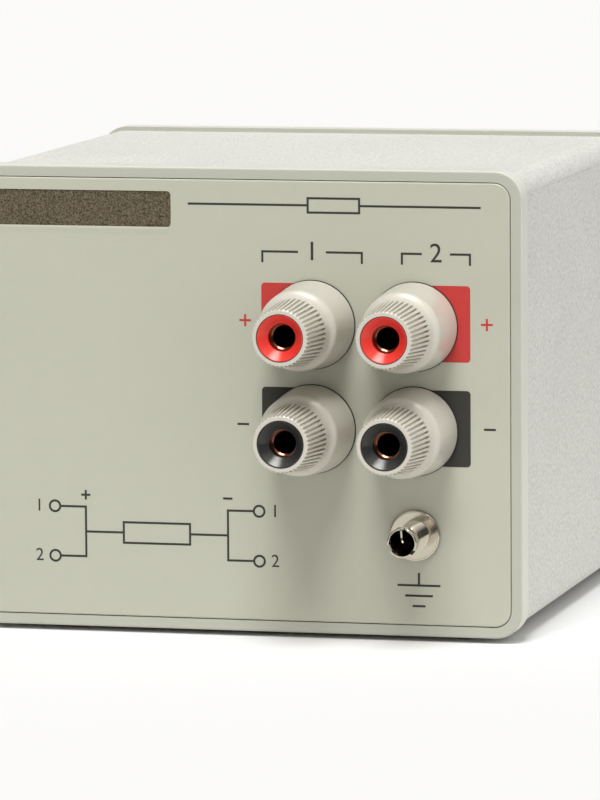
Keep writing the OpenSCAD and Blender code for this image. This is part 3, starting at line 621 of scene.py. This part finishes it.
def extrude(bm, faces, way):
    """Thickens faces along a vector."""
    made = bmesh.ops.extrude_face_region(bm, geom=faces)
    moved = [v for v in made["geom"] if isinstance(v, bmesh.types.BMVert)]
    bmesh.ops.translate(bm, verts=moved, vec=way)


def bar(start, outline, long):
    """A bmesh of a bar along X from start, whose outline is given as steps back and up."""
    bm = bmesh.new()
    end = bm.faces.new([bm.verts.new(start + Vector((0, back, up))) for back, up in outline])
    extrude(bm, [end], (long, 0, 0))
    return bm


def turned_bar(centre, section, start, angle, steps, climb=0.0):
    """A bmesh of a section, given as radii and depths, that turns round an axis along Y."""
    out = Matrix.Rotation(start, 3, "Y") @ Vector((1, 0, 0))
    bm = bmesh.new()
    face = bm.faces.new([bm.verts.new(centre + out * radius + Vector((0, depth, 0)))
                         for radius, depth in section])
    bmesh.ops.spin(bm, geom=[face, *face.edges, *face.verts], cent=centre, axis=(0, 1, 0),
                   dvec=(0, climb, 0), angle=angle, steps=steps)
    return bm


def circle(bm, centre, radius, segments):
    """The edges of a new circle round an axis along Y."""
    place = Matrix.Translation(centre) @ Matrix.Rotation(pi / 2, 4, "X")
    made = bmesh.ops.create_circle(bm, radius=radius, segments=segments, matrix=place)
    return list(dict.fromkeys(edge for vert in made["verts"] for edge in vert.link_edges))


# Drawings in X and Z

def lay_on_panel(name, bm, depth, material):
    """Stands a flat drawing on the panel's face and thickens it outwards into a piece."""
    extrude(bm, bm.faces[:], (0, -depth, 0))
    bmesh.ops.translate(bm, verts=bm.verts[:], vec=(0, PANEL_FACE, 0))
    finished(name, bm, material)


def flat_ring(name, at, inner, outer, thick, material):
    """A flat ring on the panel's face, round a point."""
    bm = bmesh.new()
    draw_ring(bm, at.x, at.z, (inner + outer) / 2, outer - inner, segments=96)
    lay_on_panel(name, bm, thick, material)


def draw_box(bm, x0, z0, x1, z1):
    """A filled rectangle."""
    place = Matrix.Translation(((x0 + x1) / 2, 0, (z0 + z1) / 2)) @ Matrix.Rotation(pi / 2, 4, "X")
    size = Matrix.Diagonal(((x1 - x0) / 2, (z1 - z0) / 2, 1, 1))
    bmesh.ops.create_grid(bm, x_segments=1, y_segments=1, size=1, matrix=place @ size)


def draw_rule(bm, x0, x1, z, stroke):
    draw_box(bm, min(x0, x1), z - stroke / 2, max(x0, x1), z + stroke / 2)


def draw_stem(bm, x, z0, z1, stroke):
    draw_box(bm, x - stroke / 2, z0, x + stroke / 2, z1)


def draw_frame(bm, x0, z0, x1, z1, stroke):
    """The outline of a rectangle, whose four strokes don't overlap."""
    draw_box(bm, x0, z1 - stroke, x1, z1)
    draw_box(bm, x0, z0, x1, z0 + stroke)
    draw_box(bm, x0, z0 + stroke, x0 + stroke, z1 - stroke)
    draw_box(bm, x1 - stroke, z0 + stroke, x1, z1 - stroke)


def draw_ring(bm, x, z, radius, stroke, segments=32):
    """A ring round a point."""
    inner, outer = [circle(bm, (x, 0, z), radius + half, segments) for half in (-stroke / 2, stroke / 2)]
    bmesh.ops.bridge_loops(bm, edges=inner + outer)


def draw_plus(bm, x, z, size, stroke):
    """A plus sign: its stem, with an arm on each side."""
    half, thin = size / 2, stroke / 2
    draw_rule(bm, x - half, x - thin, z, stroke)
    draw_stem(bm, x, z - half, z + half, stroke)
    draw_rule(bm, x + thin, x + half, z, stroke)


def draw_numeral(bm, text, x, z, height):
    """A numeral centred on a point."""
    size_by_height = 1.37
    curve = bpy.data.curves.new("numeral", "FONT")
    curve.body = text
    curve.align_x = curve.align_y = "CENTER"
    curve.size = height * size_by_height
    holder = put("numeral", curve)
    bpy.context.view_layer.update()
    mesh = bpy.data.meshes.new_from_object(holder)
    mesh.transform(Matrix.Translation((x, 0, z)) @ Matrix.Rotation(pi / 2, 4, "X"))
    bm.from_mesh(mesh)
    bpy.data.objects.remove(holder)
    bpy.data.meshes.remove(mesh)


# Stage

def set_camera(scene, stage):
    """Looks along its azimuth and elevation, then rolls about its view."""
    a, e, roll = stage.azimuth, stage.elevation, stage.roll
    ahead = Vector((-sin(a) * cos(e), cos(a) * cos(e), -sin(e)))
    right = Vector((cos(a), sin(a), 0))
    down = ahead.cross(right)
    rolled_right = cos(roll) * right + sin(roll) * down
    rolled_down = cos(roll) * down - sin(roll) * right
    turn = Matrix((rolled_right, -rolled_down, -ahead)).transposed()
    data = bpy.data.cameras.new("camera")
    data.lens = stage.lens
    data.sensor_width = 36
    data.clip_start, data.clip_end = 0.05, 50
    scene.camera = put("camera", data)
    scene.camera.matrix_world = Matrix.Translation(stage.camera) @ turn.to_4x4()


def set_floor(stage):
    """A white round floor, of which gloss mirrors the middle as paper and the rest as dark."""
    fade = 1.35
    finish = Finish("floor_paper", Specular_IOR_Level=0.0, Roughness=1.0)
    finish.base(stage.floor, finish.group("Grain", Size=0.5 * MM)["Tone"], spread=0.01)
    away = vectors(finish.tree, "LENGTH", finish.place)["Value"]
    far = ramp(finish.tree, away, stage.paper, stage.paper * fade)
    gloss = add(finish.tree, "ShaderNodeLightPath").outputs["Is Glossy Ray"]
    finish.change(gloss, stage.near_gloss)
    finish.change(maths(finish.tree, "MULTIPLY", far, gloss), stage.far_gloss)
    bm = bmesh.new()
    bmesh.ops.create_circle(bm, cap_ends=True, radius=stage.floor_radius, segments=96)
    put_mesh("floor", bm, finish.material)


def set_sky(scene, stage):
    """Even light from all sides. The camera sees it white, and gloss mirrors a room that is dark low down
    and bright high up, with a soft box in it."""
    room_level, room_start, room_end = 0.06, 0.38, 0.74
    box_edge, box_core = radians(22), radians(14)
    scene.world = bpy.data.worlds.new("sky")
    scene.world.use_nodes = True
    tree = scene.world.node_tree
    tree.nodes.clear()
    rays = add(tree, "ShaderNodeLightPath").outputs
    way = add(tree, "ShaderNodeTexCoord").outputs["Generated"]
    up = add(tree, "ShaderNodeSeparateXYZ", {0: way}).outputs["Z"]
    room = ramp(tree, up, room_start, room_end, room_level, 1.0)
    near = vectors(tree, "DOT_PRODUCT", way, Vector(stage.soft_box_at).normalized())["Value"]
    box = ramp(tree, near, cos(box_edge), cos(box_core), 0.0, stage.soft_box)
    seen = maths(tree, "MAXIMUM", rays["Is Camera Ray"], rays["Is Transmission Ray"])
    plain = ramp(tree, seen, 0.0, 1.0, stage.sky, 1.0)
    strength = ramp(tree, rays["Is Glossy Ray"], 0.0, 1.0, plain, maths(tree, "ADD", room, box))
    inputs = {"Color": mix(tree, seen, (*stage.sky_tint, 1), (1, 1, 1, 1)), "Strength": strength}
    background = add(tree, "ShaderNodeBackground", inputs)
    add(tree, "ShaderNodeOutputWorld", {"Surface": background.outputs[0]})


def set_lamp(name, level, way, size, tint, gloss=True):
    """A broad far light, whose level is what a white surface square to it shows."""
    data = bpy.data.lights.new(name, "SUN")
    data.energy = level * pi
    data.color = tint
    data.angle = size
    lamp = put(name, data)
    lamp.rotation_euler = Vector(way).to_track_quat("Z", "Y").to_euler()
    lamp.visible_glossy = gloss


# Pieces that the frame lacks

def make_lap(material):
    """The lap behind the seam between the covers, a little under their skin."""
    low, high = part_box("bottom_cover")
    thick, tall, under, short, over = 0.6 * MM, 0.4 * MM, 0.07 * MM, 0.1 * MM, 0.05 * MM
    bm = bmesh.new()
    for side in (-1, 1):
        at = Vector((side * (high.x - under - thick / 2), (low.y + high.y) / 2, high.z + over))
        size = Matrix.Diagonal((thick, high.y - low.y - 2 * short, tall, 1))
        bmesh.ops.create_cube(bm, size=1, matrix=Matrix.Translation(at) @ size)
    finished("cover_lap", bm, material)


def make_lip(material):
    """The slight swell of the panel's face along the badge plate's lower edge."""
    low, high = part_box("badge_plate")
    end, crest, foot, swell = 0.5 * MM, 0.36 * MM, 1.4 * MM, 0.08 * MM
    start = Vector((low.x + end, PANEL_FACE, low.z))
    bm = bar(start, ((0, 0), (-swell, -crest), (0, -foot)), high.x - low.x - 2 * end)
    finished("badge_lip", bm, material)


def make_step(post, material):
    """The bevelled step inside a stud, between its wide mouth and the socket."""
    wide, narrow, deep, bevel, thick = 2.31 * MM, 2.05 * MM, 0.5 * MM, 0.18 * MM, 1.0 * MM
    centre = Vector((POST_AT[post].x, SOCKET_MOUTH.y, POST_AT[post].z))
    section = ((wide, deep), (narrow, deep + bevel), (narrow, deep + thick), (wide, deep + thick))
    bm = bmesh.new()
    loops = [circle(bm, centre + Vector((0, depth, 0)), radius, segments=64) for radius, depth in section]
    for a, b in zip(loops, loops[1:] + loops[:1]):
        bmesh.ops.bridge_loops(bm, edges=a + b)
    finished("socket_step_" + post, bm, material)


def make_thread(material):
    """The thread on the jack's barrel, from behind its lip to the flange."""
    pitch, root, crest, start, turns, steps = 1.1 * MM, 2.56 * MM, 2.86 * MM, 2.3 * MM, 7, 36
    tooth = ((root, 0.02), (crest, 0.2), (crest, 0.32), (root, 0.62))
    section = [(radius, start + along * pitch) for radius, along in tooth]
    bm = turned_bar(JACK_MOUTH, section, 0, turns * 2 * pi, turns * steps, climb=pitch / steps)
    for face in bm.faces:
        face.smooth = True
    piece = finished("jack_thread", bm, material)
    piece.data.set_sharp_from_angle(angle=radians(20))


def make_spring(material):
    """The spring in the jack's barrel: a nearly black arc behind the slot on its left, which stands in for
    the shade there.
    """
    inner, outer, front, back = 2.13 * MM, 2.27 * MM, 0.4 * MM, 2.3 * MM
    slot, spread = radians(202), radians(60)
    section = ((inner, front), (outer, front), (outer, back), (inner, back))
    bm = turned_bar(JACK_MOUTH, section, spread / 2 - slot, -spread, 16)
    finished("jack_spring", bm, material)


def make_leaf(material):
    """The bent contact leaf that hangs from the top of the jack's bore."""
    left, wide, thick = -0.4 * MM, 0.32 * MM, 0.12 * MM
    front = [(0.45 * MM, 2.3 * MM), (0.9 * MM, 1.3 * MM), (0.94 * MM, 0.95 * MM), (1.6 * MM, -0.1 * MM)]
    outline = front + [(back + thick, up) for back, up in reversed(front)]
    bm = bar(JACK_MOUTH + Vector((left, 0, 0)), outline, wide)
    finished("jack_leaf", bm, material)


# Printing

def print_patch(post, look, material):
    """A patch with two round outer corners, cut out round the post's bushing."""
    at = POST_AT[post]
    outwards = -1 if post.startswith("current") else 1
    gap, arc_steps, corner_steps = 0.25 * MM, 24, 6
    bm = bmesh.new()
    start = bm.verts.new((at.x, 0, at.z + BUSHING_R + gap))
    spun = bmesh.ops.spin(bm, geom=[start], cent=(at.x, 0, at.z), axis=(0, 1, 0), steps=arc_steps,
                          angle=pi * outwards)
    end = next(v for v in spun["geom_last"] if isinstance(v, bmesh.types.BMVert))
    mid_z = at.z + look.shift[1]
    high, low = mid_z + look.patch_rise, mid_z - look.patch_rise
    edge = at.x + look.shift[0] + outwards * look.patch_side
    corners = [bm.verts.new(p) for p in ((at.x, 0, low), (edge, 0, low), (edge, 0, high), (at.x, 0, high))]
    chain = [end, *corners, start]
    for a, b in zip(chain, chain[1:]):
        bm.edges.new((a, b))
    bmesh.ops.contextual_create(bm, geom=bm.edges[:])
    bmesh.ops.bevel(bm, geom=corners[1:3], offset=look.patch_round, segments=corner_steps, profile=0.5,
                    affect="VERTICES", material=-1)
    lay_on_panel("patch_" + post, bm, look.depth, material)


def print_sign(post, look, material):
    """A plus beside a post of the high row, a minus beside one of the low row."""
    plus_away, minus_away = 13.0 * MM, 13.5 * MM
    high = post.endswith("hi")
    beside = plus_away if high else minus_away
    x = POST_AT[post].x + look.shift[0] + (-beside if post.startswith("current") else beside)
    z = POST_AT[post].z + look.shift[1]
    bm = bmesh.new()
    if high:
        draw_plus(bm, x, z, look.sign, look.stroke)
    else:
        draw_rule(bm, x - look.sign / 2, x + look.sign / 2, z, look.stroke)
    lay_on_panel("sign_" + post, bm, look.depth, material)


def print_headings(look, dark):
    """A numeral over each column, between two short rules."""
    above, tick, gap = 13.25 * MM, 1.8 * MM, 2.6 * MM
    thin = look.stroke / 2
    columns = (("1", "current_hi", 0.15 * MM, 9.5 * MM), ("2", "sense_hi", 4.15 * MM, 6.5 * MM))
    for text, post, aside, half in columns:
        x, z = POST_AT[post].x + aside, POST_AT[post].z + above
        bm = bmesh.new()
        draw_numeral(bm, text, x, z, look.numeral)
        for side in (-1, 1):
            draw_rule(bm, x + side * gap, x + side * half, z, look.stroke)
            draw_stem(bm, x + side * (half - thin), z - thin - tick, z - thin, look.stroke)
        lay_on_panel("heading_" + text, bm, look.depth, dark)


def print_title(look, dark):
    """The sign of a resistor on a long rule, beside the badge plate."""
    left, right = -9.6 * MM, 45.0 * MM
    half_w, half_h, above = 5.0 * MM, 1.5 * MM, 1.1 * MM
    mid, z = (left + right) / 2, middle("badge_plate").z + above
    bm = bmesh.new()
    draw_frame(bm, mid - half_w, z - half_h, mid + half_w, z + half_h, look.stroke)
    draw_rule(bm, left, mid - half_w, z, look.stroke)
    draw_rule(bm, mid + half_w, right, z, look.stroke)
    lay_on_panel("title_sign", bm, look.depth, dark)


def print_diagram(look, dark):
    """Four terminals joined in pairs to the two ends of a resistor."""
    mid_x, mid_z = -16.0 * MM, 18.6 * MM
    half_w, half_h = 6.5 * MM, 2.1 * MM
    branch, reach, rise, ring = 13.5 * MM, 19.0 * MM, 4.6 * MM, 1.0 * MM
    numeral, numeral_off, sign_off, sign = 2.4 * MM, 3.4 * MM, 2.2 * MM, look.sign * 0.8
    stroke, thin = look.stroke, look.stroke / 2
    bm = bmesh.new()
    draw_frame(bm, mid_x - half_w, mid_z - half_h, mid_x + half_w, mid_z + half_h, stroke)
    for side in (-1, 1):
        draw_rule(bm, mid_x + side * half_w, mid_x + side * (branch - thin), mid_z, stroke)
        draw_stem(bm, mid_x + side * branch, mid_z - rise - thin, mid_z + rise + thin, stroke)
        for text, z in (("1", mid_z + rise), ("2", mid_z - rise)):
            near, far = mid_x + side * (branch + thin), mid_x + side * (reach - ring + thin)
            draw_rule(bm, near, far, z, stroke)
            draw_ring(bm, mid_x + side * (reach + stroke), z, ring, stroke)
            draw_numeral(bm, text, mid_x + side * (reach + numeral_off), z, numeral)
    sign_z = mid_z + rise + sign_off
    draw_plus(bm, mid_x - branch, sign_z, sign, stroke)
    draw_rule(bm, mid_x + branch - sign / 2, mid_x + branch + sign / 2, sign_z, stroke)
    lay_on_panel("terminal_diagram", bm, look.depth, dark)


def print_earth(look, dark):
    """The sign for earth under the ground jack."""
    top, stem, step, aside = 12.7 * MM, 2.3 * MM, 1.9 * MM, 0.6 * MM
    x = JACK_AT.x + aside
    bm = bmesh.new()
    draw_stem(bm, x, top - stem + look.stroke / 2, top, look.stroke)
    for k, half in enumerate((4.0 * MM, 2.6 * MM, 1.2 * MM)):
        draw_rule(bm, x - half, x + half, top - stem - k * step, look.stroke)
    lay_on_panel("earth_sign", bm, look.depth, dark)


# Operators

class STANDARD_OT_stage(bpy.types.Operator):
    """Sets the floor, the light and the camera"""
    bl_idname = "standard.stage"
    bl_label = "Set the stage"

    def execute(self, context):
        stage = context.scene.standard_stage
        context.scene.view_settings.view_transform = "Standard"
        set_camera(context.scene, stage)
        set_floor(stage)
        set_sky(context.scene, stage)
        set_lamp("key_light", stage.key, stage.key_from, stage.key_size, stage.key_tint)
        set_lamp("side_light", stage.side, stage.side_from, stage.side_size, (1, 1, 1), gloss=False)
        return {"FINISHED"}


class STANDARD_OT_paint_case(bpy.types.Operator):
    """Paints the bezels, panels and covers and rounds their edges"""
    bl_idname = "standard.paint_case"
    bl_label = "Paint the case"

    def execute(self, context):
        look = context.scene.standard_paint
        paint(once("panel_paint_satin", smooth_paint, look.panel), "front_panel", "rear_panel")
        bezel = once("bezel_paint_satin", bezel_paint, look.bezel, look.bezel_side)
        paint(bezel, "front_bezel", "rear_bezel")
        cover = once("cover_paint_pebbled", textured_paint, look.cover, look.pebble)
        paint(cover, "top_cover", "bottom_cover")
        # Merging this far takes away the thin ridge at the lid's bends
        soften(look.edge, "top_cover", near=LID_RIDGE)
        soften(look.edge, "bottom_cover")
        make_lap(cover)
        for side, face, edge in (("front", PANEL_FACE, CASE_FRONT), ("rear", REAR_FACE, CASE_BACK)):
            rim = rim_group(side + "_panel", face, PANEL_CORNER)
            soften(look.panel_edge, side + "_panel", segments=3, rim=rim)
            rim = rim_group(side + "_bezel", edge, BEZEL_CORNER)
            soften(look.bezel_edge, side + "_bezel", segments=5, rim=rim)
        return {"FINISHED"}


class STANDARD_OT_badge(bpy.types.Operator):
    """Gives the bare badge plate its grained bronze"""
    bl_idname = "standard.badge"
    bl_label = "Finish the badge plate"

    def execute(self, context):
        paint(once("badge_bronze", badge_metal, context.scene.standard_metal.badge), "badge_plate")
        make_lip(once("panel_paint_satin", smooth_paint, context.scene.standard_paint.panel))
        return {"FINISHED"}


class STANDARD_OT_knobs(bpy.types.Operator):
    """Gives the knobs their moulded plastic"""
    bl_idname = "standard.knobs"
    bl_label = "Finish the knobs"

    def execute(self, context):
        plastic = once("knob_moulding", knob_plastic, context.scene.standard_plastic.knob)
        paint(plastic, *["knob_" + post for post in POSTS])
        return {"FINISHED"}


class STANDARD_OT_collars(bpy.types.Operator):
    """Gives the collars their glossy red and black"""
    bl_idname = "standard.collars"
    bl_label = "Finish the collars"

    def execute(self, context):
        plastic = context.scene.standard_plastic
        red = once("collar_red", glossy_plastic, plastic.red)
        black = once("collar_black", glossy_plastic, plastic.black)
        for post in POSTS:
            paint(red if post.endswith("hi") else black, "collar_" + post)
        return {"FINISHED"}


class STANDARD_OT_posts(bpy.types.Operator):
    """Finishes the posts' studs, bushes, bushings, washers, lugs and nuts"""
    bl_idname = "standard.posts"
    bl_label = "Finish the posts"

    def execute(self, context):
        metal = context.scene.standard_metal
        flashed = once("copper_turned", copper, metal.copper)
        for post in POSTS:
            paint(flashed, "stud_" + post, "bush_" + post)
            make_step(post, flashed)
        nylon = once("nylon", dull_plastic, context.scene.standard_plastic.nylon)
        paint(nylon, "post_bushings", "post_insulators")
        paint(nickel_sheet(metal), "post_washers", "post_lugs", "post_nuts")
        return {"FINISHED"}


class STANDARD_OT_gaskets(bpy.types.Operator):
    """Lays a thin dark gasket on the panel round each post; its dark edge is partly a painted shadow of
    the gap under each knob
    """
    bl_idname = "standard.gaskets"
    bl_label = "Lay the gaskets"

    def execute(self, context):
        gap, over, thick = 0.3 * MM, 0.1 * MM, 0.24 * MM
        # Dark gasket, partly real and partly a painted shadow of the gap under each knob
        black = once("gasket_rubber", rubber, (0.015, 0.015, 0.014))
        for post in POSTS:
            flat_ring("gasket_" + post, POST_AT[post], BUSHING_R + gap, SKIRT_R + over, thick, black)
        return {"FINISHED"}


class STANDARD_OT_ground_jack(bpy.types.Operator):
    """Plates the ground jack and the pieces behind it"""
    bl_idname = "standard.ground_jack"
    bl_label = "Finish the ground jack"

    def execute(self, context):
        metal = context.scene.standard_metal
        bright = once("nickel_turned", turned_nickel, metal.nickel)
        paint(bright, "ground_jack")
        make_thread(bright)
        flat_ring("jack_face", JACK_AT, FLANGE_INNER, FLANGE_OUTER, FLANGE_FRONT, bright)
        # Painted shade: the spring is nearly black so that the slot shows dark
        make_spring(once("jack_spring_dark", plain_metal, (0.03, 0.025, 0.02), 0.4, 0.5))
        make_leaf(once("nickel_leaf", plain_metal, metal.nickel, 0.1, 0.2))
        paint(nickel_sheet(metal), "ground_lug")
        paint(zinc_plate(metal), "ground_washer", "ground_nut")
        return {"FINISHED"}


class STANDARD_OT_fasteners(bpy.types.Operator):
    """Plates the rods, screws, studs, nuts and standoffs, and gives the feet their rubber"""
    bl_idname = "standard.fasteners"
    bl_label = "Finish the fasteners and feet"

    def execute(self, context):
        zinc = zinc_plate(context.scene.standard_metal)
        paint(zinc, "corner_rods", "rear_screws", "panel_studs", "panel_nuts")
        paint(zinc, "board_standoffs", "board_screws")
        soften(0.08 * MM, "rear_screws")
        paint(once("foot_rubber", rubber, (0.02, 0.02, 0.021)), "rubber_feet")
        return {"FINISHED"}


class STANDARD_OT_board(bpy.types.Operator):
    """Finishes the circuit board, its pins, resistors and leads"""
    bl_idname = "standard.board"
    bl_label = "Finish the circuit board"

    def execute(self, context):
        look = context.scene.standard_inside
        paint(once("board_laminate", laminate, look.board), "circuit_board")
        paint(nickel_sheet(context.scene.standard_metal), "board_terminals")
        paint(once("spool_ceramic", dull_plastic, look.spool), "resistor_spools")
        paint(once("winding_wire", winding, look.wire), "resistor_windings")
        paint(once("trim_lacquer", dull_plastic, look.lacquer), "trim_resistors")
        paint(once("lead_insulation", dull_plastic, look.lead), "hookup_leads")
        return {"FINISHED"}


class STANDARD_OT_patches(bpy.types.Operator):
    """Prints a colour patch and a sign for each post"""
    bl_idname = "standard.patches"
    bl_label = "Print the patches and signs"

    def execute(self, context):
        look = context.scene.standard_print
        red, dark = once("ink_red", ink, look.red), once("ink_dark", ink, look.dark)
        for post in POSTS:
            print_patch(post, look, red if post.endswith("hi") else dark)
            print_sign(post, look, red if post.endswith("hi") else dark)
        return {"FINISHED"}


class STANDARD_OT_marks(bpy.types.Operator):
    """Prints the numerals and the small diagrams on the panel"""
    bl_idname = "standard.marks"
    bl_label = "Print the marks"

    def execute(self, context):
        look = context.scene.standard_print
        dark = once("ink_dark", ink, look.dark)
        for mark in (print_headings, print_title, print_diagram, print_earth):
            mark(look, dark)
        return {"FINISHED"}


OPERATORS = (STANDARD_OT_stage, STANDARD_OT_paint_case, STANDARD_OT_badge, STANDARD_OT_knobs,
             STANDARD_OT_collars, STANDARD_OT_posts, STANDARD_OT_gaskets, STANDARD_OT_ground_jack,
             STANDARD_OT_fasteners, STANDARD_OT_board, STANDARD_OT_patches, STANDARD_OT_marks)
SETTINGS = {"standard_paint": PaintSettings, "standard_plastic": PlasticSettings,
            "standard_metal": MetalSettings, "standard_inside": InsideSettings,
            "standard_print": PrintSettings, "standard_stage": StageSettings}


class STANDARD_PT_dressing(bpy.types.Panel):
    """Lists the settings and the steps of the dressing"""
    bl_idname = "STANDARD_PT_dressing"
    bl_label = "Resistance standard"
    bl_space_type = "VIEW_3D"
    bl_region_type = "UI"
    bl_category = "Standard"

    def draw(self, context):
        for name, group in SETTINGS.items():
            box = self.layout.box()
            for key in group.__annotations__:
                box.prop(getattr(context.scene, name), key)
        for operator in OPERATORS:
            self.layout.operator(operator.bl_idname)


def register():
    for cls in (*SETTINGS.values(), *OPERATORS, STANDARD_PT_dressing):
        bpy.utils.register_class(cls)
    for name, group in SETTINGS.items():
        setattr(bpy.types.Scene, name, PointerProperty(type=group))


def unregister():
    for name in SETTINGS:
        delattr(bpy.types.Scene, name)
    for cls in (STANDARD_PT_dressing, *reversed(OPERATORS), *reversed(SETTINGS.values())):
        bpy.utils.unregister_class(cls)


def main():
    register()
    for operator in OPERATORS:
        step = operator.bl_idname.split(".")[1]
        getattr(bpy.ops.standard, step)()


if __name__ == "__main__":
    main()
